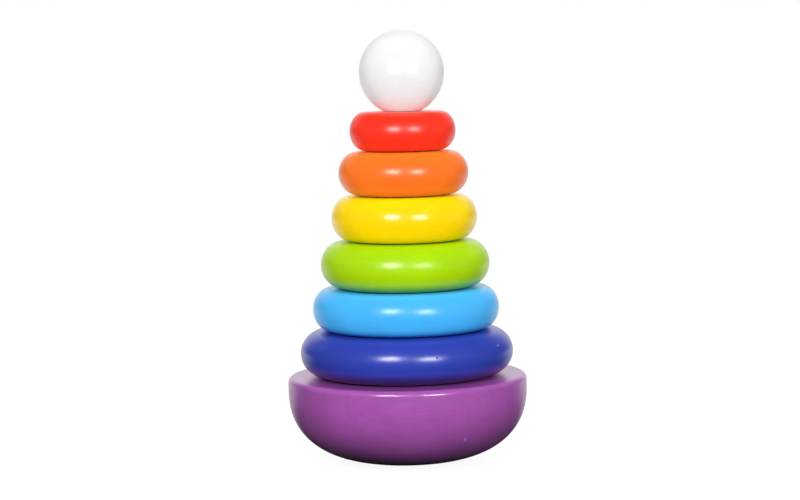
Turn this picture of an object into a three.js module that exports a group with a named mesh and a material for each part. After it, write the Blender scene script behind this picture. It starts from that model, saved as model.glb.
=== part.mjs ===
// Ring stacker: a rocking base that carries a peg, six rings that drop over the peg, and a ball on top.
// Every piece is turned wood, so each is one outline swept round the upright axis.
// Millimetres, +Z up. The origin is the middle of the base's flat foot, on the table.

import * as THREE from 'three';

// Base: a solid bowl with a small flat foot, flat on top, with a floor left under the peg's hole
const BASE_DIAMETER = 127;
const BASE_HEIGHT = 45.3;
const FOOT_DIAMETER = 25;
const BOWL_FULLNESS = 2.36;
const BASE_WALL_HEIGHT = 4;
const BASE_RIM_RADIUS = 2.3;
const BASE_FLOOR_THICKNESS = 17.3;

// Peg: a dowel glued into a blind hole in the base
const PEG_DIAMETER = 17;
const PEG_CHAMFER = 1.2;
const PEG_DOME_HEIGHT = 5;
const GLUE_GAP = 0.2;
const HOLE_CHAMFER = 0.6;

// Rings: a flat-faced disc with a rounded rim, bored to slide over the peg
const RING_CLEARANCE = 0.4;
const BORE_CHAMFER = 0.4;

// Outer diameter of each ring, from the widest up
const DARK_BLUE_DIAMETER = 112.9;
const LIGHT_BLUE_DIAMETER = 98.8;
const GREEN_DIAMETER = 89.5;
const YELLOW_DIAMETER = 77;
const ORANGE_DIAMETER = 68.7;
const RED_DIAMETER = 56;

// Thickness of each ring
const DARK_BLUE_THICKNESS = 24.2;
const LIGHT_BLUE_THICKNESS = 22.1;
const GREEN_THICKNESS = 24.8;
const YELLOW_THICKNESS = 23.8;
const ORANGE_THICKNESS = 23.2;
const RED_THICKNESS = 20.6;

// How far the rounded rim runs in from the edge of each ring
const DARK_BLUE_RIM_REACH = 12;
const LIGHT_BLUE_RIM_REACH = 8.5;
const GREEN_RIM_REACH = 11.3;
const YELLOW_RIM_REACH = 9.7;
const ORANGE_RIM_REACH = 10.2;
const RED_RIM_REACH = 7.9;

// Ball: faced flat round the mouth of its socket, where it sits on the top ring
const BALL_DIAMETER = 45;
const SOCKET_CLEARANCE = 0.3;
const SOCKET_CHAMFER = 0.3;
const SOCKET_DEPTH = 26;
const SOCKET_END_ROOM = 4;
const LAND_WIDTH = 0.6;

// Space between two pieces that rest on each other
const SEAT_GAP = 0.2;

// Facets round each piece, and along the curves of its outline
const TURN_SEGMENTS = 48;
const BOWL_STEPS = 12;
const BASE_RIM_STEPS = 4;
const RING_RIM_STEPS = 10;
const BALL_STEPS = 14;
const DOME_STEPS = 4;

// Finish of the lacquered pieces and of the bare peg
const LACQUER_ROUGHNESS = 0.3;
const BARE_WOOD_ROUGHNESS = 0.65;
const PURPLE = '#a452a8';
const WHITE = '#f0efee';
const BEECH = '#d9b382';

// The rings in the order that they go onto the peg
const RINGS = [
  {
    name: 'ring_dark_blue',
    colour: '#3148b6',
    diameter: DARK_BLUE_DIAMETER,
    thickness: DARK_BLUE_THICKNESS,
    rimReach: DARK_BLUE_RIM_REACH,
  },
  {
    name: 'ring_light_blue',
    colour: '#4bbffa',
    diameter: LIGHT_BLUE_DIAMETER,
    thickness: LIGHT_BLUE_THICKNESS,
    rimReach: LIGHT_BLUE_RIM_REACH,
  },
  {
    name: 'ring_green',
    colour: '#b2e100',
    diameter: GREEN_DIAMETER,
    thickness: GREEN_THICKNESS,
    rimReach: GREEN_RIM_REACH,
  },
  {
    name: 'ring_yellow',
    colour: '#ffe000',
    diameter: YELLOW_DIAMETER,
    thickness: YELLOW_THICKNESS,
    rimReach: YELLOW_RIM_REACH,
  },
  {
    name: 'ring_orange',
    colour: '#ff7e22',
    diameter: ORANGE_DIAMETER,
    thickness: ORANGE_THICKNESS,
    rimReach: ORANGE_RIM_REACH,
  },
  {
    name: 'ring_red',
    colour: '#ff361e',
    diameter: RED_DIAMETER,
    thickness: RED_THICKNESS,
    rimReach: RED_RIM_REACH,
  },
];

// Heights and radii that follow from the sizes above
const QUARTER_TURN = Math.PI / 2;
const baseRadius = BASE_DIAMETER / 2;
const pegRadius = PEG_DIAMETER / 2;
const holeRadius = pegRadius + GLUE_GAP;
const boreRadius = pegRadius + RING_CLEARANCE;
const socketRadius = pegRadius + SOCKET_CLEARANCE;
const stackSeat = BASE_HEIGHT + SEAT_GAP;
const ballSeat = RINGS.reduce((height, ring) => height + ring.thickness + SEAT_GAP, stackSeat);
const pegBottom = BASE_FLOOR_THICKNESS + GLUE_GAP;
const pegTop = ballSeat + SOCKET_DEPTH - SOCKET_END_ROOM;

/** One corner of an outline: its distance from the axis and its height. */
function at(radius, height) {
  return new THREE.Vector2(radius, height);
}

/** Points along an elliptical arc that runs from one angle to another. */
function arc(centre, radiusAcross, radiusUp, fromAngle, toAngle, steps) {
  const clockwise = toAngle < fromAngle;
  const curve = new THREE.EllipseCurve(
    centre.x, centre.y, radiusAcross, radiusUp, fromAngle, toAngle, clockwise,
  );
  return curve.getPoints(steps);
}

/** Points up the bowl's side: a quarter superellipse from the foot's edge to the wall. */
function bowlSide(footRadius, wallFoot) {
  const reach = baseRadius - footRadius;
  const power = 2 / BOWL_FULLNESS;
  return Array.from({ length: BOWL_STEPS + 1 }, (_, step) => {
    const angle = QUARTER_TURN * step / BOWL_STEPS;
    const radius = footRadius + reach * Math.sin(angle) ** power;
    const height = wallFoot * (1 - Math.max(Math.cos(angle), 0) ** power);
    return at(radius, height);
  });
}

/** A solid swept round the axis from an outline whose outer side runs upwards. */
function turned(name, outline, colour, roughness) {
  const geometry = new THREE.LatheGeometry(outline, TURN_SEGMENTS);
  geometry.rotateX(QUARTER_TURN);
  const material = new THREE.MeshStandardMaterial({ color: colour, roughness, metalness: 0 });
  const mesh = new THREE.Mesh(geometry, material);
  mesh.name = name;
  return mesh;
}

/** The base: foot, bowl, wall and rounded rim, then the flat top and the peg's blind hole. */
function makeBase() {
  const rimSeat = BASE_HEIGHT - BASE_RIM_RADIUS;
  const rimCentre = at(baseRadius - BASE_RIM_RADIUS, rimSeat);
  const outline = [
    at(0, 0),
    ...bowlSide(FOOT_DIAMETER / 2, rimSeat - BASE_WALL_HEIGHT),
    ...arc(rimCentre, BASE_RIM_RADIUS, BASE_RIM_RADIUS, 0, QUARTER_TURN, BASE_RIM_STEPS),
    at(holeRadius + HOLE_CHAMFER, BASE_HEIGHT),
    at(holeRadius, BASE_HEIGHT - HOLE_CHAMFER),
    at(holeRadius, BASE_FLOOR_THICKNESS),
    at(0, BASE_FLOOR_THICKNESS),
  ];
  return turned('base', outline, PURPLE, LACQUER_ROUGHNESS);
}

/** The peg: chamfered where it goes into the base, domed at the top. */
function makePeg() {
  const length = pegTop - pegBottom;
  const domeCentre = at(0, length - PEG_DOME_HEIGHT);
  const outline = [
    at(0, 0),
    at(pegRadius - PEG_CHAMFER, 0),
    at(pegRadius, PEG_CHAMFER),
    ...arc(domeCentre, pegRadius, PEG_DOME_HEIGHT, 0, QUARTER_TURN, DOME_STEPS),
  ];
  return turned('peg', outline, BEECH, BARE_WOOD_ROUGHNESS);
}

/** One ring: a rim that is half an ellipse between two flat faces, and a chamfered bore. */
function makeRing({ name, colour, diameter, thickness, rimReach }) {
  const half = thickness / 2;
  const rimCentre = at(diameter / 2 - rimReach, half);
  const mouthRadius = boreRadius + BORE_CHAMFER;
  const outline = [
    at(boreRadius, BORE_CHAMFER),
    at(mouthRadius, 0),
    ...arc(rimCentre, rimReach, half, -QUARTER_TURN, QUARTER_TURN, RING_RIM_STEPS),
    at(mouthRadius, thickness),
    at(boreRadius, thickness - BORE_CHAMFER),
    at(boreRadius, BORE_CHAMFER),
  ];
  return turned(name, outline, colour, LACQUER_ROUGHNESS);
}

/** The ball: a sphere faced flat at its mouth, with a blind socket for the peg's top. */
function makeBall() {
  const radius = BALL_DIAMETER / 2;
  const mouthRadius = socketRadius + SOCKET_CHAMFER;
  const landRadius = mouthRadius + LAND_WIDTH;
  const centre = at(0, Math.sqrt(radius ** 2 - landRadius ** 2));
  const landAngle = -Math.acos(landRadius / radius);
  const outline = [
    at(0, SOCKET_DEPTH),
    at(socketRadius, SOCKET_DEPTH),
    at(socketRadius, SOCKET_CHAMFER),
    at(mouthRadius, 0),
    ...arc(centre, radius, radius, landAngle, QUARTER_TURN, BALL_STEPS),
  ];
  return turned('top_ball', outline, WHITE, LACQUER_ROUGHNESS);
}

// Each seat is nested in the one below it, so lifting a ring lifts all that rests on it
const stacker = new THREE.Group();
stacker.add(makeBase());

const peg = makePeg();
peg.position.z = pegBottom;
stacker.add(peg);

let seat = new THREE.Group();
seat.position.z = stackSeat;
stacker.add(seat);
for (const ring of RINGS) {
  const nextSeat = new THREE.Group();
  nextSeat.position.z = ring.thickness + SEAT_GAP;
  seat.add(makeRing(ring), nextSeat);
  seat = nextSeat;
}
seat.add(makeBall());

export default stacker;
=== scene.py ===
"""Ring stacker in turned, lacquered wood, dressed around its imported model.

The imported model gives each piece's place and outer size. Finer meshes of the same pieces are
turned here, finished in coloured lacquer or bare beech, and stood in a plain studio.
Lengths are in millimetres until a mesh, a lamp or the camera is made, which are in metres.
Angles are in degrees until they are used.
"""

import logging
import math
from dataclasses import dataclass, field
from enum import Enum
from typing import Any, Union

import bmesh
import bpy
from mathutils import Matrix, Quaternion, Vector


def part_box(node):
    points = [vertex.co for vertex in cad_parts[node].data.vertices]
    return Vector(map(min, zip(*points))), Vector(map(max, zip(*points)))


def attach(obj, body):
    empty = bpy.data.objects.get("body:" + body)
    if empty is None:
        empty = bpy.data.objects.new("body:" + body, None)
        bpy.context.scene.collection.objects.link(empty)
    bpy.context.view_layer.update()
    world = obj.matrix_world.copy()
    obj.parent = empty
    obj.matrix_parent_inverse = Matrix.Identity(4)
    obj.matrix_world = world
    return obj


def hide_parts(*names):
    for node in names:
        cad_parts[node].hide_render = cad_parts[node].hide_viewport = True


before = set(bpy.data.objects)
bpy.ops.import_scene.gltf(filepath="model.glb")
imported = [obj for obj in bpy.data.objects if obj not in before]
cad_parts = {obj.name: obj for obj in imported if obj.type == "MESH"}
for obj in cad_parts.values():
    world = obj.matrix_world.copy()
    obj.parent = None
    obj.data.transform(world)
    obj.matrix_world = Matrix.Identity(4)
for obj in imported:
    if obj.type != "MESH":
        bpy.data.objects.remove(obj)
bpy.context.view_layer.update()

LOG = logging.getLogger("ring_stacker")
MM = 0.001

# A noise pattern's middle value, and the detail of a plain one
NOISE_MIDDLE = 0.5
PLAIN_DETAIL = 1.0

# The curve between a screen's levels and linear light
FULL_LEVEL = 255
CURVE_TOE = 0.04045
CURVE_TOE_SLOPE = 12.92
CURVE_OFFSET = 0.055
CURVE_POWER = 2.4

Point = tuple[float, float]
Colour = tuple[float, float, float, float]
Feed = Union["Wire", float, tuple[float, ...], Vector]


def radius_of(node: str) -> float:
    """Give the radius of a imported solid, in millimetres."""
    low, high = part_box(node)
    return (high.x - low.x) / 2 / MM


def to_linear(level: float) -> float:
    """Turn a screen's level into linear light.

    Args:
        level: The level, from 0 to 1.

    Returns:
        The linear value, from 0 to 1.
    """
    if level <= CURVE_TOE:
        return level / CURVE_TOE_SLOPE
    return ((level + CURVE_OFFSET) / (1 + CURVE_OFFSET)) ** CURVE_POWER


def paint(code: str, level: float = 1.0) -> Colour:
    """Turn a hex colour, as seen on a screen, into the linear colour that shaders take.

    Args:
        code: Six hex digits, red first.
        level: Factor on the linear colour, below 1 for a deeper coat.

    Returns:
        Red, green, blue and a full alpha.
    """
    channels = [int(code[start:start + 2], 16) / FULL_LEVEL for start in (0, 2, 4)]
    red, green, blue = (to_linear(channel) * level for channel in channels)
    return red, green, blue, 1.0


class Wire:
    """A node's output that takes part in Python arithmetic.

    Every operator adds one Math node to the output's own tree, so a rule in a shader or in a
    geometry tree reads as the sum that it stands for.
    """

    def __init__(self, board: "Board", socket: bpy.types.NodeSocket) -> None:
        """Hold an output socket and the board that its node stands on."""
        self.board = board
        self.socket = socket

    def out(self, name: str) -> "Wire":
        """Give another output of the same node, by its name."""
        return Wire(self.board, self.socket.node.outputs[name])

    def math(self, operation: str, *others: Feed) -> "Wire":
        """Run this value through a Math node.

        Args:
            operation: The Math node's operation.
            others: The node's second and third values, where it takes them.

        Returns:
            The node's result.
        """
        return self.board.add("ShaderNodeMath", {"operation": operation}, dict(enumerate((self, *others))))

    def __add__(self, other: Feed) -> "Wire":
        """Add a value."""
        return self.math("ADD", other)

    def __radd__(self, other: float) -> "Wire":
        """Add to a number."""
        return self.math("ADD", other)

    def __sub__(self, other: Feed) -> "Wire":
        """Take a value away."""
        return self.math("SUBTRACT", other)

    def __rsub__(self, other: float) -> "Wire":
        """Take this value from a number."""
        return self.math("MULTIPLY_ADD", -1.0, other)

    def __mul__(self, other: Feed) -> "Wire":
        """Multiply by a value."""
        return self.math("MULTIPLY", other)

    def __rmul__(self, other: float) -> "Wire":
        """Multiply a number."""
        return self.math("MULTIPLY", other)

    def step(self, low: float, high: float) -> "Wire":
        """Rise smoothly from 0 at one value to 1 at another.

        Args:
            low: Value at which the result is 0.
            high: Value at which the result is 1; it may be the lower of the two.

        Returns:
            The smooth step.
        """
        rising = low < high
        ends = (low, high) if rising else (high, low)
        share = self.board.add(
            "ShaderNodeMapRange",
            {"interpolation_type": "SMOOTHSTEP"},
            {"Value": self, "From Min": ends[0], "From Max": ends[1]},
        )
        return share if rising else 1 - share


class Board:
    """A node tree and the one way in which nodes are put on it."""

    # The Mix node's sockets for colours, by number because its other sockets have the same names
    MIX_SHARE = 0
    MIX_FIRST = 6
    MIX_SECOND = 7
    MIX_RESULT = 2

    def __init__(self, tree: bpy.types.NodeTree) -> None:
        """Clear a tree and take it over."""
        tree.nodes.clear()
        self.tree = tree

    def add(
        self,
        kind: str,
        settings: dict[str, Any] | None = None,
        feeds: dict[str | int, Feed] | None = None,
        output: str | int = 0,
    ) -> Wire:
        """Add a node, set it up and feed its sockets.

        Args:
            kind: The node's type name.
            settings: Attributes of the node, such as a Math node's operation, set first.
            feeds: Values or wires by socket name or number.
            output: The output to give back, by name or number.

        Returns:
            The chosen output, or the first input of a node that has no outputs.
        """
        node = self.tree.nodes.new(kind)
        for name, value in (settings or {}).items():
            setattr(node, name, value)
        for key, feed in (feeds or {}).items():
            if isinstance(feed, Wire):
                self.tree.links.new(feed.socket, node.inputs[key])
            else:
                node.inputs[key].default_value = feed
        return Wire(self, node.outputs[output] if node.outputs else node.inputs[0])

    def noise(self, where: Wire, size_mm: float, detail: float = 2.0, rough: float = 0.5) -> Wire:
        """Add a noise pattern.

        Args:
            where: Coordinates in metres.
            size_mm: Size of the pattern's patches.
            detail: Number of finer layers.
            rough: Weight of the finer layers.

        Returns:
            A value about 0.5.
        """
        feeds = {"Vector": where, "Scale": 1 / (size_mm * MM), "Detail": detail, "Roughness": rough}
        return self.add("ShaderNodeTexNoise", {}, feeds, "Fac")

    def drawn_out(self, where: Wire, grain: "Grain", stretch: float) -> Wire:
        """Lay coordinates along a grain and draw a pattern out that way.

        Args:
            where: Coordinates in metres.
            grain: The way the grain runs.
            stretch: Width of the pattern's patches over their length.

        Returns:
            The drawn-out coordinates.
        """
        feeds = {"Vector": where, "Rotation": grain.value, "Scale": (1 / stretch, 1.0, 1.0)}
        return self.add("ShaderNodeMapping", {"vector_type": "TEXTURE"}, feeds)

    def blend(self, share: Feed, first: Feed, second: Feed) -> Wire:
        """Blend two colours.

        Args:
            share: 0 for the first colour, 1 for the second.
            first: A colour.
            second: Another colour.

        Returns:
            The blended colour.
        """
        feeds = {self.MIX_SHARE: share, self.MIX_FIRST: first, self.MIX_SECOND: second}
        return self.add("ShaderNodeMix", {"data_type": "RGBA"}, feeds, self.MIX_RESULT)

    def relief(self, height_mm: Wire) -> Wire:
        """Turn a height in millimetres into the normal of an uneven surface."""
        return self.add("ShaderNodeBump", {}, {"Strength": 1.0, "Distance": MM, "Height": height_mm})


def blank_material(name: str) -> tuple[bpy.types.Material, Board]:
    """Make an empty material.

    Args:
        name: The material's name.

    Returns:
        The material and the board for its nodes.
    """
    material = bpy.data.materials.new(name)
    material.use_nodes = True
    return material, Board(material.node_tree)


class Grain(Enum):
    """The way the wood's grain runs, as a turn of the first axis."""

    SIDE_TO_SIDE = (0.0, 0.0, 0.0)
    ASKEW = (0.0, 0.0, math.radians(24))
    ACROSS = (0.0, 0.0, math.radians(-38))
    UPRIGHT = (0.0, math.radians(90), 0.0)


@dataclass(frozen=True)
class Mark:
    """A fleck, a pit or a dull patch in the lacquer, seen on the photographed side."""

    where_mm: tuple[float, float, float]
    radius_mm: float
    colour: str
    dullness: float = 0.0


@dataclass(frozen=True)
class Lacquer:
    """Coloured lacquer sprayed over sanded wood: the grain shows faintly through the coat.

    Evenness is how well the colour keeps its level where the surface turns away from a lamp. The
    painted shade is a deeper colour painted low on a ring's rim, standing in for the shade that falls there.
    """

    name: str
    colour: str
    grain: Grain
    pattern_shift_mm: float
    evenness: float = 0.0
    roughness: float = 0.36
    roughness_spread: float = 0.12
    pore_dullness: float = 0.08
    gloss_level: float = 0.05
    coat: float = 1.0
    coat_roughness: float = 0.28
    coat_ior: float = 1.5
    deepest: float = 0.95
    depth_start: float = 0.38
    depth_end: float = 0.62
    cloud_size_mm: float = 16.0
    cloud_share: float = 0.5
    grain_stretch: float = 0.05
    grain_size_mm: float = 1.6
    grain_detail: float = 3.0
    grain_rough: float = 0.6
    pore_size_mm: float = 0.7
    pore_start: float = 0.60
    pore_end: float = 0.72
    pore_depth_mm: float = 0.006
    peel_size_mm: float = 1.5
    peel_height_mm: float = 0.008
    turning_size_mm: float = 0.5
    turning_depth_mm: float = 0.003
    # Painted shade: a deeper colour low on the rim where shade falls, how high it reaches and how it fades
    # inwards
    painted_shade_colour: str = ""
    painted_shade_height_mm: float = 5.0
    painted_shade_fade_mm: float = 4.0
    lower_edge_mm: float = 0.0
    flat_radius_mm: float = 0.0
    marks: tuple[Mark, ...] = ()

    def build(self) -> bpy.types.Material:
        """Make the material.

        Returns:
            A material whose colour, gloss and relief follow the wood and the coat.
        """
        material, board = blank_material(self.name)
        place = board.add("ShaderNodeTexCoord", output="Object")
        shift = self.pattern_shift_mm * MM
        shifted = {0: place, 1: (shift, shift, shift)}
        moved = board.add("ShaderNodeVectorMath", {"operation": "ADD"}, shifted)
        along = board.drawn_out(moved, self.grain, self.grain_stretch)
        cloud = board.noise(moved, self.cloud_size_mm)
        lines = board.noise(along, self.grain_size_mm, self.grain_detail, self.grain_rough)
        pores = board.noise(along, self.pore_size_mm, PLAIN_DETAIL).step(self.pore_start, self.pore_end)
        peel = board.noise(moved, self.peel_size_mm, PLAIN_DETAIL)
        depth = self.cloud_share * cloud + (1 - self.cloud_share) * lines
        depth = depth.step(self.depth_start, self.depth_end)
        colour = board.blend(depth, paint(self.colour, self.deepest), paint(self.colour))
        # Painted shade: the colour is deepened low on the rim, where shade falls
        if self.painted_shade_colour:
            colour = board.blend(self._painted_shade(board, place), colour, paint(self.painted_shade_colour))
        coat: Feed = self.coat
        for mark in self.marks:
            spot = self._spot(board, place, mark)
            colour = board.blend(spot, colour, paint(mark.colour))
            coat = coat * (1 - mark.dullness * spot)
        gloss = self.roughness + self.roughness_spread * (cloud - NOISE_MIDDLE) + self.pore_dullness * pores
        height = self.peel_height_mm * peel - self.pore_depth_mm * pores
        height = height + self.turning_depth_mm * self._turning_lines(board, place)
        shader = board.add(
            "ShaderNodeBsdfPrincipled",
            {},
            {
                "Base Color": colour,
                "Roughness": gloss,
                "Diffuse Roughness": self.evenness,
                "Normal": board.relief(height),
                "Specular IOR Level": self.gloss_level,
                "Coat Weight": coat,
                "Coat Roughness": self.coat_roughness,
                "Coat IOR": self.coat_ior,
            },
        )
        board.add("ShaderNodeOutputMaterial", {}, {"Surface": shader})
        return material

    def _turning_lines(self, board: Board, place: Wire) -> Wire:
        """Lay the fine rings that the lathe leaves.

        Args:
            board: The board that the nodes go on.
            place: The place on the piece.

        Returns:
            A height about the noise's middle.
        """
        axes = board.add("ShaderNodeSeparateXYZ", {}, {0: place}, "X")
        ridge = board.add("ShaderNodeCombineXYZ", {}, {"X": self._radius(board, axes), "Z": axes.out("Z")})
        return board.noise(ridge, self.turning_size_mm, PLAIN_DETAIL)

    @staticmethod
    def _radius(board: Board, axes: Wire) -> Wire:
        """Give a place's distance from the upright axis."""
        level = board.add("ShaderNodeCombineXYZ", {}, {"X": axes, "Y": axes.out("Y")})
        return board.add("ShaderNodeVectorMath", {"operation": "LENGTH"}, {0: level}, "Value")

    def _painted_shade(self, board: Board, place: Wire) -> Wire:
        """Find where shade is painted, low on the rim.

        Args:
            board: The board that the nodes go on.
            place: The place on the piece.

        Returns:
            1 low on the rim, and 0 above it and on the flat underside.
        """
        axes = board.add("ShaderNodeSeparateXYZ", {}, {0: place}, "X")
        foot = self.lower_edge_mm * MM
        flat = self.flat_radius_mm * MM
        low = axes.out("Z").step(foot + self.painted_shade_height_mm * MM, foot)
        return low * self._radius(board, axes).step(flat, flat + self.painted_shade_fade_mm * MM)

    @staticmethod
    def _spot(board: Board, place: Wire, mark: Mark) -> Wire:
        """Find where a mark is.

        Args:
            board: The board that the nodes go on.
            place: The place on the piece.
            mark: The mark.

        Returns:
            1 inside the mark and 0 outside it.
        """
        centre = Vector(mark.where_mm) * MM
        gap = board.add("ShaderNodeVectorMath", {"operation": "DISTANCE"}, {0: place, 1: centre}, "Value")
        radius = mark.radius_mm * MM
        return gap.step(radius, radius / 2)


@dataclass(frozen=True)
class BareBeech:
    """Sanded beech with no coat: straight grain with short dark flecks."""

    name: str = "bare_beech"
    pale: str = "E6C79C"
    deep: str = "C99A66"
    fleck: str = "8A5A34"
    grain: Grain = Grain.UPRIGHT
    grain_stretch: float = 0.03
    grain_size_mm: float = 1.4
    grain_detail: float = 4.0
    grain_rough: float = 0.6
    grain_start: float = 0.35
    grain_end: float = 0.65
    fleck_stretch: float = 0.14
    fleck_size_mm: float = 0.45
    fleck_start: float = 0.66
    fleck_end: float = 0.74
    fleck_share: float = 0.7
    roughness: float = 0.55
    roughness_spread: float = 0.2
    relief_mm: float = 0.02

    def build(self) -> bpy.types.Material:
        """Make the material.

        Returns:
            A material with growth lines and flecks that run along the grain.
        """
        material, board = blank_material(self.name)
        place = board.add("ShaderNodeTexCoord", output="Object")
        along = board.drawn_out(place, self.grain, self.grain_stretch)
        lines = board.noise(along, self.grain_size_mm, self.grain_detail, self.grain_rough)
        dashes = board.drawn_out(place, self.grain, self.fleck_stretch)
        flecks = board.noise(dashes, self.fleck_size_mm, PLAIN_DETAIL).step(self.fleck_start, self.fleck_end)
        growth = lines.step(self.grain_start, self.grain_end)
        colour = board.blend(growth, paint(self.deep), paint(self.pale))
        colour = board.blend(self.fleck_share * flecks, colour, paint(self.fleck))
        gloss = self.roughness + self.roughness_spread * (lines - NOISE_MIDDLE)
        normal = board.relief(self.relief_mm * lines)
        feeds = {"Base Color": colour, "Roughness": gloss, "Normal": normal}
        shader = board.add("ShaderNodeBsdfPrincipled", {}, feeds)
        board.add("ShaderNodeOutputMaterial", {}, {"Surface": shader})
        return material


class Outline:
    """The edge of a turned piece, as points of radius and height in millimetres."""

    SAME_POINT = 1e-6

    def __init__(self, radius: float, height: float) -> None:
        """Start the outline at a point."""
        self.points: list[Point] = [(radius, height)]

    def line(self, radius: float, height: float, steps: int = 1) -> "Outline":
        """Run straight to a point.

        Args:
            radius: The point's distance from the axis.
            height: The point's height.
            steps: Number of equal stretches.

        Returns:
            This outline.
        """
        start_radius, start_height = self.points[-1]
        for step in range(1, steps + 1):
            share = step / steps
            self._reach(
                start_radius + (radius - start_radius) * share,
                start_height + (height - start_height) * share,
            )
        return self

    def arc(self, centre: Point, across: float, up: float, start: float, end: float, steps: int) -> "Outline":
        """Run along an elliptical arc.

        Args:
            centre: Radius and height of the arc's centre.
            across: Half-width of the ellipse.
            up: Half-height of the ellipse.
            start: Angle of the first point, in degrees, 0 outwards and 90 upwards.
            end: Angle of the last point.
            steps: Number of stretches.

        Returns:
            This outline.
        """
        for step in range(steps + 1):
            angle = math.radians(start + (end - start) * step / steps)
            self._reach(centre[0] + across * math.cos(angle), centre[1] + up * math.sin(angle))
        return self

    def bowl(self, radius: float, height: float, fullness: float, steps: int) -> "Outline":
        """Rise in a quarter superellipse, level at its start and upright at its end.

        Args:
            radius: Distance of the end from the axis.
            height: Height of the end.
            fullness: The superellipse's exponent, 2 for an ellipse.
            steps: Number of stretches.

        Returns:
            This outline.
        """
        foot_radius, foot_height = self.points[-1]
        power = 2 / fullness
        for step in range(1, steps + 1):
            angle = math.radians(90 * step / steps)
            out = max(math.sin(angle), 0.0) ** power
            rise = 1 - max(math.cos(angle), 0.0) ** power
            self._reach(
                foot_radius + (radius - foot_radius) * out,
                foot_height + (height - foot_height) * rise,
            )
        return self

    def _reach(self, radius: float, height: float) -> None:
        """Add a point unless the outline is already there."""
        if math.dist(self.points[-1], (radius, height)) > self.SAME_POINT:
            self.points.append((radius, height))


class TurningTree:
    """The geometry tree that turns an outline about the upright axis, as a lathe does."""

    INPUTS = (
        ("Outline", "NodeSocketGeometry"),
        ("Segments", "NodeSocketInt"),
        ("Waver", "NodeSocketFloat"),
        ("Waver Size", "NodeSocketFloat"),
        ("Pattern Shift", "NodeSocketVector"),
        ("Finish", "NodeSocketMaterial"),
    )
    HALF_GRID = 0.5
    WELD = 1e-7

    def __init__(self) -> None:
        """Build the tree, once for all the pieces."""
        self.tree = bpy.data.node_groups.new("turning", "GeometryNodeTree")
        self.inputs: dict[str, str] = {}
        for name, kind in self.INPUTS:
            socket = self.tree.interface.new_socket(name, in_out="INPUT", socket_type=kind)
            self.inputs[name] = socket.identifier
        self.tree.interface.new_socket("Turned", in_out="OUTPUT", socket_type="NodeSocketGeometry")
        self._wire(Board(self.tree))

    def _wire(self, board: Board) -> None:
        """Lay the nodes: a grid is rolled round the axis, welded, wavered and given its finish.

        Args:
            board: The board that the nodes go on.
        """
        given = board.add("NodeGroupInput", output="Outline")
        count = board.add(
            "GeometryNodeAttributeDomainSize", {"component": "MESH"}, {"Geometry": given}, "Point Count"
        )
        grid = board.add(
            "GeometryNodeMeshGrid",
            {},
            {
                "Size X": 2 * self.HALF_GRID,
                "Size Y": 2 * self.HALF_GRID,
                "Vertices X": count,
                "Vertices Y": given.out("Segments") + 1,
            },
            "Mesh",
        )
        position = board.add("GeometryNodeInputPosition")
        across = board.add("ShaderNodeSeparateXYZ", {}, {0: position}, "X")
        column = ((across + self.HALF_GRID) * (count - 1)).math("ROUND")
        turn = (across.out("Y") + self.HALF_GRID) * math.tau
        spot = board.add(
            "GeometryNodeSampleIndex",
            {"data_type": "FLOAT_VECTOR", "domain": "POINT"},
            {"Geometry": given, "Value": position, "Index": column},
        )
        radius = board.add("ShaderNodeSeparateXYZ", {}, {0: spot}, "X")
        rolled = board.add(
            "ShaderNodeCombineXYZ",
            {},
            {"X": radius * turn.math("COSINE"), "Y": radius * turn.math("SINE"), "Z": radius.out("Z")},
        )
        shell = board.add("GeometryNodeSetPosition", {}, {"Geometry": grid, "Position": rolled})
        closed = board.add("GeometryNodeMergeByDistance", {}, {"Geometry": shell, "Distance": self.WELD})
        wavered = board.add(
            "GeometryNodeSetPosition", {}, {"Geometry": closed, "Offset": self._waver(board, given)}
        )
        smooth = board.add("GeometryNodeSetShadeSmooth", {}, {"Geometry": wavered})
        real = board.add("GeometryNodeRealizeInstances", {}, {"Geometry": smooth})
        dressing = {"Geometry": real, "Material": given.out("Finish")}
        dressed = board.add("GeometryNodeSetMaterial", {}, dressing)
        board.add("NodeGroupOutput", {}, {0: dressed})

    @staticmethod
    def _waver(board: Board, given: Wire) -> Wire:
        """Lay the small unevenness that sanding by hand leaves.

        Args:
            board: The board that the nodes go on.
            given: The tree's inputs.

        Returns:
            A push along the normal, of up to the waver either way.
        """
        position = board.add("GeometryNodeInputPosition")
        where = board.add(
            "ShaderNodeVectorMath", {"operation": "ADD"}, {0: position, 1: given.out("Pattern Shift")}
        )
        scaled = board.add(
            "ShaderNodeVectorMath", {"operation": "DIVIDE"}, {0: where, 1: given.out("Waver Size")}
        )
        bulge = board.add("ShaderNodeTexNoise", {}, {"Vector": scaled, "Scale": 1.0, "Detail": 0.0}, "Fac")
        push = (bulge - NOISE_MIDDLE) * 2 * given.out("Waver")
        normal = board.add("GeometryNodeInputNormal")
        return board.add("ShaderNodeVectorMath", {"operation": "SCALE"}, {0: normal, "Scale": push})

    def turn(self, name: str, outline: Outline, **settings: Any) -> bpy.types.Object:
        """Turn an outline into a plain mesh object at the origin.

        Args:
            name: The object's name.
            outline: The edge to turn.
            settings: The tree's inputs by name, with underscores for spaces.

        Returns:
            An object with no modifiers, whose place is in its mesh.
        """
        points = [(radius * MM, 0.0, height * MM) for radius, height in outline.points]
        edges = [(index, index + 1) for index in range(len(points) - 1)]
        mesh = bpy.data.meshes.new(f"{name}_outline")
        mesh.from_pydata(points, edges, [])
        piece = bpy.data.objects.new(name, mesh)
        bpy.context.scene.collection.objects.link(piece)
        lathe = piece.modifiers.new("turning", "NODES")
        lathe.node_group = self.tree
        for key, value in settings.items():
            lathe[self.inputs[key.replace("_", " ").title()]] = value
        evaluated = piece.evaluated_get(bpy.context.evaluated_depsgraph_get())
        turned = bpy.data.meshes.new_from_object(evaluated)
        piece.modifiers.remove(lathe)
        piece.data = turned
        turned.name = name
        bpy.data.meshes.remove(mesh)
        self._face_outwards(turned)
        return piece

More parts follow.
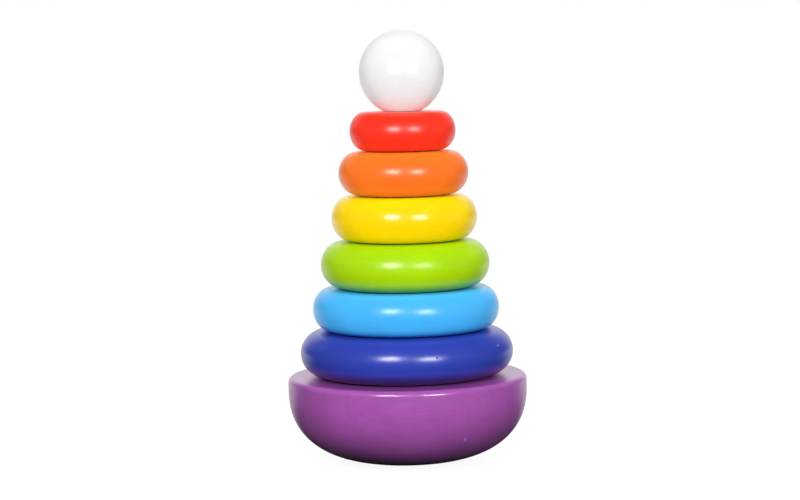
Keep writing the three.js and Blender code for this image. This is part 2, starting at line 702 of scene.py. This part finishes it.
    @staticmethod
    def _face_outwards(mesh: bpy.types.Mesh) -> None:
        """Turn every face of a closed mesh to look outwards.

        Args:
            mesh: The mesh, which is changed in place.
        """
        editable = bmesh.new()
        editable.from_mesh(mesh)
        bmesh.ops.recalc_face_normals(editable, faces=editable.faces)
        editable.to_mesh(mesh)
        editable.free()


@dataclass(kw_only=True)
class TurnedPiece:
    """A piece of the toy that is turned to the size of the solid that it stands for."""

    name: str
    node: str
    body: str
    slot: str
    finish: Lacquer | BareBeech
    segments: int = 192
    waver_mm: float = 0.05
    waver_size_mm: float = 17.0
    edge_steps: int = 5
    radius: float = field(init=False)
    foot: float = field(init=False)
    top: float = field(init=False)

    def __post_init__(self) -> None:
        """Read the solid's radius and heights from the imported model."""
        low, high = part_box(self.node)
        self.radius = radius_of(self.node)
        self.foot = low.z / MM
        self.top = high.z / MM

    def outline(self) -> Outline:
        """Draw the edge that the lathe follows; each kind of piece has its own."""
        raise NotImplementedError

    def build(self, turning: TurningTree) -> bpy.types.Object:
        """Turn, finish and place the piece.

        Args:
            turning: The tree that turns outlines.

        Returns:
            The piece, riding on its body in the solid's stead.
        """
        shift = self.foot * MM
        piece = turning.turn(
            self.name,
            self.outline(),
            segments=self.segments,
            waver=self.waver_mm * MM,
            waver_size=self.waver_size_mm * MM,
            pattern_shift=(shift, -shift, shift),
            finish=self.finish.build(),
        )
        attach(piece, self.body)
        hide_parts(self.node)
        return piece


@dataclass(kw_only=True)
class RockingBase(TurnedPiece):
    """The bowl that the toy rocks on, with the blind hole that holds the peg."""

    hole_radius: float
    foot_diameter: float = 25.0
    fullness: float = 2.36
    wall_height: float = 3.5
    rim_round: float = 2.8
    floor_thickness: float = 17.3
    hole_round: float = 0.6
    foot_steps: int = 4
    bowl_steps: int = 48
    rim_steps: int = 14
    top_steps: int = 10
    hole_steps: int = 4
    floor_steps: int = 2

    def outline(self) -> Outline:
        """Draw the foot, bowl, wall, rim, top and hole.

        Returns:
            The outline, from the middle of the foot to the middle of the hole's floor.
        """
        rim_seat = self.top - self.rim_round
        rim = (self.radius - self.rim_round, rim_seat)
        mouth = (self.hole_radius + self.hole_round, self.top - self.hole_round)
        edge = Outline(0.0, self.foot)
        edge.line(self.foot_diameter / 2, self.foot, self.foot_steps)
        edge.bowl(self.radius, rim_seat - self.wall_height, self.fullness, self.bowl_steps)
        edge.line(self.radius, rim_seat)
        edge.arc(rim, self.rim_round, self.rim_round, 0, 90, self.rim_steps)
        edge.line(self.hole_radius + 2 * self.hole_round, self.top, self.top_steps)
        edge.arc(mouth, self.hole_round, self.hole_round, 90, 180, self.edge_steps)
        edge.line(self.hole_radius, self.floor_thickness, self.hole_steps)
        edge.line(0.0, self.floor_thickness, self.floor_steps)
        return edge


@dataclass(kw_only=True)
class Peg(TurnedPiece):
    """The dowel that stands in the base."""

    chamfer: float = 1.2
    dome_height: float = 5.0
    foot_steps: int = 2
    shaft_steps: int = 24
    dome_steps: int = 16

    def outline(self) -> Outline:
        """Draw the chamfered foot, the shaft and the domed top.

        Returns:
            The outline, from the middle of the foot to the top of the dome.
        """
        dome_seat = self.top - self.dome_height
        edge = Outline(0.0, self.foot)
        edge.line(self.radius - self.chamfer, self.foot, self.foot_steps)
        edge.line(self.radius, self.foot + self.chamfer)
        edge.line(self.radius, dome_seat, self.shaft_steps)
        edge.arc((0.0, dome_seat), self.radius, self.dome_height, 0, 90, self.dome_steps)
        return edge


@dataclass(kw_only=True)
class StackRing(TurnedPiece):
    """A ring that drops over the peg: flat faces, a rounded rim and a bore."""

    bore_radius: float
    rim_reach: float
    bore_round: float = 0.6
    relief_below: float = 0.25
    face_steps: int = 6
    rim_steps: int = 44
    bore_steps: int = 4

    def outline(self) -> Outline:
        """Draw the lower face, the rim, the upper face and the bore.

        Returns:
            The outline, round to where it starts at the lower end of the bore.
        """
        foot = self.foot + self.relief_below
        half = (self.top - foot) / 2
        flat_edge = self.radius - self.rim_reach
        lip = self.bore_radius + self.bore_round
        upper_mouth = (lip, self.top - self.bore_round)
        lower_mouth = (lip, foot + self.bore_round)
        edge = Outline(lip, foot)
        edge.line(lip + self.bore_round, foot)
        edge.line(flat_edge, foot, self.face_steps)
        edge.arc((flat_edge, foot + half), self.rim_reach, half, -90, 90, self.rim_steps)
        edge.line(lip + self.bore_round, self.top, self.face_steps)
        edge.line(lip, self.top)
        edge.arc(upper_mouth, self.bore_round, self.bore_round, 90, 180, self.edge_steps)
        edge.line(self.bore_radius, foot + self.bore_round, self.bore_steps)
        edge.arc(lower_mouth, self.bore_round, self.bore_round, 180, 270, self.edge_steps)
        return edge


@dataclass(kw_only=True)
class TopBall(TurnedPiece):
    """The ball that caps the peg."""

    socket_radius: float
    socket_depth: float = 26.0
    socket_round: float = 0.3
    settling: float = 0.18
    roof_steps: int = 2
    socket_steps: int = 4
    sphere_steps: int = 64

    def outline(self) -> Outline:
        """Draw the socket, its mouth, the land settled onto the top ring, and the sphere.

        Returns:
            The outline, from the middle of the socket's roof to the top of the sphere.
        """
        seat = self.foot - self.settling
        centre = (0.0, self.top - self.radius)
        land_angle = -math.degrees(math.asin((centre[1] - seat) / self.radius))
        roof = self.foot + self.socket_depth
        mouth = (self.socket_radius + self.socket_round, seat + self.socket_round)
        edge = Outline(0.0, roof)
        edge.line(self.socket_radius, roof, self.roof_steps)
        edge.line(self.socket_radius, mouth[1], self.socket_steps)
        edge.arc(mouth, self.socket_round, self.socket_round, 180, 270, self.edge_steps)
        edge.arc(centre, self.radius, self.radius, land_angle, 90, self.sphere_steps)
        return edge


@dataclass(frozen=True)
class RingPlan:
    """What tells one ring from the next: its colour, its rim, its coat, how its wood lies and the shade
    painted low on its rim.
    """

    colour_name: str
    colour: str
    rim_reach: float
    grain: Grain
    evenness: float
    coat_roughness: float = 0.28
    coat_ior: float = 1.5
    peel_height_mm: float = 0.012
    # Painted shade low on the rim: its colour and how high it reaches
    painted_shade_colour: str = ""
    painted_shade_height_mm: float = 5.0
    marks: tuple[Mark, ...] = ()


class RingStacker:
    """The whole toy: base, peg, rings and ball."""

    RING_CLEARANCE = 0.4
    SOCKET_CLEARANCE = 0.3
    GLUE_GAP = 0.2
    BASE_MARKS = (Mark(where_mm=(28.9, -50.4, 18.35), radius_mm=1.3, colour="B08CFF"),)
    DARK_BLUE_MARKS = (
        Mark(where_mm=(15.3, -53.9, 61.0), radius_mm=0.7, colour="1B1E4E", dullness=0.9),
        Mark(where_mm=(47.5, -27.8, 63.4), radius_mm=0.6, colour="A9B2E6", dullness=0.3),
    )
    GREEN_MARKS = (Mark(where_mm=(10.1, -43.4, 107.2), radius_mm=10.0, colour="B2E100", dullness=0.32),)
    # Each ring's painted shade colour deepens the low part of its rim, where shade falls
    RINGS = (
        RingPlan(
            "dark_blue",
            "3043B6",
            rim_reach=12.0,
            grain=Grain.SIDE_TO_SIDE,
            evenness=0.0,
            coat_roughness=0.27,
            coat_ior=1.62,
            peel_height_mm=0.015,
            painted_shade_colour="0E174B",
            painted_shade_height_mm=8.0,
            marks=DARK_BLUE_MARKS,
        ),
        RingPlan(
            "light_blue",
            "4ABFFF",
            rim_reach=8.5,
            grain=Grain.ASKEW,
            evenness=0.6,
            painted_shade_colour="2886D6",
            painted_shade_height_mm=4.5,
        ),
        RingPlan(
            "green",
            "B2E100",
            rim_reach=11.3,
            grain=Grain.ACROSS,
            evenness=0.45,
            painted_shade_colour="66BB00",
            painted_shade_height_mm=6.0,
            marks=GREEN_MARKS,
        ),
        RingPlan(
            "yellow", "FFDD00", rim_reach=9.7, grain=Grain.SIDE_TO_SIDE, evenness=0.85, coat_roughness=0.2
        ),
        RingPlan("orange", "FF7E22", rim_reach=10.2, grain=Grain.ASKEW, evenness=1.0),
        RingPlan("red", "FF361E", rim_reach=7.9, grain=Grain.ACROSS, evenness=1.0, coat_roughness=0.30),
    )
    SHIFT_STEP_MM = 37.0

    def __init__(self) -> None:
        """Work out the fits from the peg and list the pieces."""
        self.peg_radius = radius_of("peg")
        self.pieces: list[TurnedPiece] = [self._base(), self._peg()]
        for index, plan in enumerate(self.RINGS, start=1):
            self.pieces.append(self._ring(plan, index * self.SHIFT_STEP_MM))
        self.pieces.append(self._ball())

    def _base(self) -> RockingBase:
        """Plan the purple base.

        Returns:
            The base, not yet turned.
        """
        return RockingBase(
            name="rocking_base",
            node="base",
            body="base",
            slot="purple_lacquer",
            finish=Lacquer(
                "purple_lacquer",
                "B25AB7",
                Grain.SIDE_TO_SIDE,
                pattern_shift_mm=0.0,
                evenness=0.05,
                gloss_level=0.3,
                coat_roughness=0.22,
                coat_ior=1.65,
                deepest=0.88,
                peel_height_mm=0.012,
                marks=self.BASE_MARKS,
            ),
            hole_radius=self.peg_radius + self.GLUE_GAP,
            segments=256,
        )

    def _peg(self) -> Peg:
        """Plan the bare peg.

        Returns:
            The peg, not yet turned.
        """
        return Peg(
            name="beech_peg",
            node="peg",
            body="base",
            slot="bare_beech",
            finish=BareBeech(),
            segments=96,
            waver_mm=0.0,
        )

    def _ring(self, plan: RingPlan, shift: float) -> StackRing:
        """Plan one ring in its own colour.

        Args:
            plan: What tells the ring from the others.
            shift: How far its pattern is moved, so that no two rings are alike.

        Returns:
            The ring, not yet turned.
        """
        name = f"ring_{plan.colour_name}"
        slot = f"{plan.colour_name}_lacquer"
        low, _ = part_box(name)
        return StackRing(
            name=f"{plan.colour_name}_ring",
            node=name,
            body=name,
            slot=slot,
            finish=Lacquer(
                slot,
                plan.colour,
                plan.grain,
                pattern_shift_mm=shift,
                evenness=plan.evenness,
                coat_roughness=plan.coat_roughness,
                coat_ior=plan.coat_ior,
                peel_height_mm=plan.peel_height_mm,
                # Painted shade low on the rim, where shade falls
                painted_shade_colour=plan.painted_shade_colour,
                painted_shade_height_mm=plan.painted_shade_height_mm,
                lower_edge_mm=low.z / MM,
                flat_radius_mm=radius_of(name) - plan.rim_reach,
                marks=plan.marks,
            ),
            bore_radius=self.peg_radius + self.RING_CLEARANCE,
            rim_reach=plan.rim_reach,
        )

    def _ball(self) -> TopBall:
        """Plan the white ball.

        Returns:
            The ball, not yet turned.
        """
        return TopBall(
            name="white_ball",
            node="top_ball",
            body="top_ball",
            slot="white_lacquer",
            finish=Lacquer(
                "white_lacquer",
                "EEECEC",
                Grain.ASKEW,
                pattern_shift_mm=-self.SHIFT_STEP_MM,
                evenness=0.9,
                deepest=0.97,
            ),
            socket_radius=self.peg_radius + self.SOCKET_CLEARANCE,
        )

    def build(self) -> None:
        """Turn every piece and report it."""
        turning = TurningTree()
        for piece in self.pieces:
            made = piece.build(turning)
            LOG.info("%s: %d faces on body %s", made.name, len(made.data.polygons), piece.body)


@dataclass(frozen=True)
class Softbox:
    """A flat lamp that faces the toy, with its lengths in metres.

    The azimuth runs from the camera's side towards the right. A lamp that isn't mirrored lights
    the toy but shows no highlight on it.
    """

    name: str
    azimuth: float
    elevation: float
    distance: float
    width: float
    height: float
    radiance: float
    mirrored: bool = True

    def build(self, target: Vector) -> None:
        """Hang the lamp.

        Args:
            target: The point that it faces.
        """
        turn, rise = math.radians(self.azimuth), math.radians(self.elevation)
        away = Vector((math.sin(turn) * math.cos(rise), -math.cos(turn) * math.cos(rise), math.sin(rise)))
        lamp = bpy.data.lights.new(self.name, "AREA")
        lamp.shape = "RECTANGLE"
        lamp.size = self.width
        lamp.size_y = self.height
        lamp.energy = self.radiance * math.pi * self.width * self.height
        holder = bpy.data.objects.new(self.name, lamp)
        holder.location = target + away * self.distance
        holder.rotation_mode = "QUATERNION"
        holder.rotation_quaternion = (-away).to_track_quat("-Z", "Y")
        holder.visible_camera = False
        holder.visible_glossy = self.mirrored
        bpy.context.scene.collection.objects.link(holder)


@dataclass(frozen=True)
class Viewpoint:
    """Where the photograph was taken from, in metres, and how the camera was held."""

    distance: float = 1.2182
    height: float = 0.2215
    aim_height: float = 0.11173
    aim_side: float = -0.0026
    roll: float = -1.15
    focal_pixels: float = 2305.0
    frame_pixels: float = 800.0
    sensor_mm: float = 36.0

    def build(self) -> None:
        """Set up the camera."""
        lens = bpy.data.cameras.new("camera")
        lens.sensor_fit = "HORIZONTAL"
        lens.sensor_width = self.sensor_mm
        lens.lens = self.focal_pixels / self.frame_pixels * self.sensor_mm
        camera = bpy.data.objects.new("camera", lens)
        stand = Vector((0.0, -self.distance, self.height))
        look = Vector((self.aim_side, 0.0, self.aim_height)) - stand
        tilt = Quaternion((0.0, 0.0, 1.0), math.radians(self.roll))
        camera.location = stand
        camera.rotation_mode = "QUATERNION"
        camera.rotation_quaternion = look.to_track_quat("-Z", "Y") @ tilt
        bpy.context.scene.collection.objects.link(camera)
        bpy.context.scene.camera = camera


class Studio:
    """A white sweep, softboxes in front and behind, and the camera, with lengths in metres."""

    TARGET = Vector((0.0, 0.0, 0.117))
    SOFTBOXES = (
        Softbox(
            "left_softbox",
            azimuth=-18.2, elevation=18.6, distance=0.674,
            width=0.20, height=0.17, radiance=24.0,
        ),
        Softbox(
            "right_softbox",
            azimuth=24.8, elevation=16.0, distance=1.209,
            width=0.36, height=0.30, radiance=19.7,
        ),
        Softbox(
            "left_fill",
            azimuth=-85.0, elevation=8.0, distance=1.2,
            width=0.6, height=0.6, radiance=0.7, mirrored=False,
        ),
        Softbox(
            "right_fill",
            azimuth=85.0, elevation=8.0, distance=1.2,
            width=0.6, height=0.6, radiance=1.3, mirrored=False,
        ),
        Softbox(
            "rear_left_softbox",
            azimuth=-138.0, elevation=20.0, distance=1.2,
            width=0.6, height=0.5, radiance=9.5, mirrored=False,
        ),
        Softbox(
            "rear_right_softbox",
            azimuth=136.0, elevation=20.0, distance=1.2,
            width=0.6, height=0.5, radiance=9.5, mirrored=False,
        ),
    )

    # The floor: its size, its colour to look at and as a source of bounced light, and its own glow
    FLOOR_RADIUS = 3.0
    FLOOR_DROP = 0.0002
    FLOOR_SEGMENTS = 96
    FLOOR_COLOUR = "6C6C6C"
    FLOOR_BOUNCE = "383838"
    FLOOR_GLOW = 0.92

    # Distances from the toy between which the shadowed floor turns to plain white
    SWEEP_NEAR = 0.15
    SWEEP_FAR = 0.5

    # What mirrored rays see: how far back white begins and is full, from -1 to 1, and how white it is
    FLOOR_EDGE = 0.35
    FLOOR_FULL = 0.8
    FLOOR_SHEEN = 0.5
    BACKDROP_EDGE = 0.66
    BACKDROP_FULL = 1.0
    BACKDROP_SHEEN = 0.85

    # The pale grey room in front: its level, and the distances and directions between which it comes in
    ROOM_SHADE = 0.7
    ROOM_NEAR = 0.3
    ROOM_FAR = 0.9
    ROOM_EDGE = 0.3
    ROOM_FULL = -0.6

    # The surround's light: what mirrored rays find of it, and what it gives from the side and from above
    SURROUND_COLOUR = "FFFFFF"
    ROOM_GLOW = 0.03
    SIDE_GLOW = 0.23
    TOP_GLOW = 0.26

    def build(self) -> None:
        """Set up the floor, the surround, the lamps and the camera."""
        self._floor()
        self._surround()
        for softbox in self.SOFTBOXES:
            softbox.build(self.TARGET)
        Viewpoint().build()
        bpy.context.scene.view_settings.view_transform = "Standard"

    def _floor(self) -> None:
        """Lay a white floor that keeps the toy's shadow and fades into the white beyond it."""
        shape = bmesh.new()
        bmesh.ops.create_circle(shape, cap_ends=True, segments=self.FLOOR_SEGMENTS, radius=self.FLOOR_RADIUS)
        bmesh.ops.translate(shape, verts=shape.verts, vec=(0.0, 0.0, -self.FLOOR_DROP))
        mesh = bpy.data.meshes.new("floor")
        shape.to_mesh(mesh)
        shape.free()
        mesh.materials.append(self._floor_finish())
        floor = bpy.data.objects.new("floor", mesh)
        bpy.context.scene.collection.objects.link(floor)

    def _floor_finish(self) -> bpy.types.Material:
        """Make the floor's finish.

        Returns:
            A material that is matt, and white to look at apart from the shadow.
        """
        material, board = blank_material("white_sweep")
        place = board.add("ShaderNodeTexCoord", output="Object")
        span = board.add("ShaderNodeVectorMath", {"operation": "LENGTH"}, {0: place}, "Value")
        way = board.add("ShaderNodeVectorMath", {"operation": "NORMALIZE"}, {0: place})
        seen = self._seen(board, way, self.FLOOR_EDGE, self.FLOOR_FULL, self.FLOOR_SHEEN)
        shade = board.blend(seen, paint(self.FLOOR_BOUNCE), paint(self.FLOOR_COLOUR))
        matt = board.add("ShaderNodeBsdfDiffuse", {}, {"Color": shade})
        glow = board.add("ShaderNodeEmission", {}, {"Strength": self.FLOOR_GLOW * seen})
        near = board.add("ShaderNodeAddShader", {}, {0: matt, 1: glow})
        dimming = self._dimming(board, way) * span.step(self.ROOM_NEAR, self.ROOM_FAR)
        white = board.add("ShaderNodeEmission", {}, {"Strength": 1 - dimming})
        share = seen * span.step(self.SWEEP_NEAR, self.SWEEP_FAR)
        mixed = board.add("ShaderNodeMixShader", {}, {0: share, 1: near, 2: white})
        board.add("ShaderNodeOutputMaterial", {}, {"Surface": mixed})
        return material

    @staticmethod
    def _seen(board: Board, way: Wire, edge: float, full: float, sheen: float) -> Wire:
        """Tell the rays that look at the white: the camera's, and mirrored ones that run off behind the toy.

        Args:
            board: The board that the nodes go on.
            way: The direction from the toy.
            edge: How far back a direction points, from -1 to 1, where the white begins.
            full: How far back it points where the white is full.
            sheen: How white it then is to a mirrored ray.

        Returns:
            1 for such a ray, and less towards the backdrop's edge.
        """
        behind = board.add("ShaderNodeSeparateXYZ", {}, {0: way}, "Y").step(edge, full)
        path = board.add("ShaderNodeLightPath", output="Is Camera Ray")
        mirrored = path.out("Is Glossy Ray").math("MAXIMUM", path.out("Is Transmission Ray"))
        return path.math("MAXIMUM", mirrored * behind * sheen)

    def _dimming(self, board: Board, way: Wire) -> Wire:
        """Give how far the white falls off towards the room in front of the toy, where no backdrop hangs."""
        ahead = board.add("ShaderNodeSeparateXYZ", {}, {0: way}, "Y").step(self.ROOM_EDGE, self.ROOM_FULL)
        return (1 - self.ROOM_SHADE) * ahead

    def _surround(self) -> None:
        """Light the surround: white to look at, pale grey in front, softly bright above, dim at the sides."""
        world = bpy.data.worlds.new("surround")
        world.use_nodes = True
        bpy.context.scene.world = world
        board = Board(world.node_tree)
        way = board.add("ShaderNodeTexCoord", output="Generated")
        seen = self._seen(board, way, self.BACKDROP_EDGE, self.BACKDROP_FULL, self.BACKDROP_SHEEN)
        path = board.add("ShaderNodeLightPath", output="Is Diffuse Ray")
        rise = board.add("ShaderNodeSeparateXYZ", {}, {0: way}, "Z")
        soft = self.SIDE_GLOW + (self.TOP_GLOW - self.SIDE_GLOW) * rise.step(0.0, 1.0)
        unseen = self.ROOM_GLOW + path * (soft - self.ROOM_GLOW)
        strength = unseen + seen * (1 - self._dimming(board, way) - unseen)
        feeds = {"Color": paint(self.SURROUND_COLOUR), "Strength": strength}
        light = board.add("ShaderNodeBackground", {}, feeds)
        board.add("ShaderNodeOutputWorld", {}, {"Surface": light})


def main() -> None:
    """Build the toy and its studio."""
    logging.basicConfig(level=logging.INFO, format="%(message)s")
    RingStacker().build()
    Studio().build()


if __name__ == "__main__":
    main()
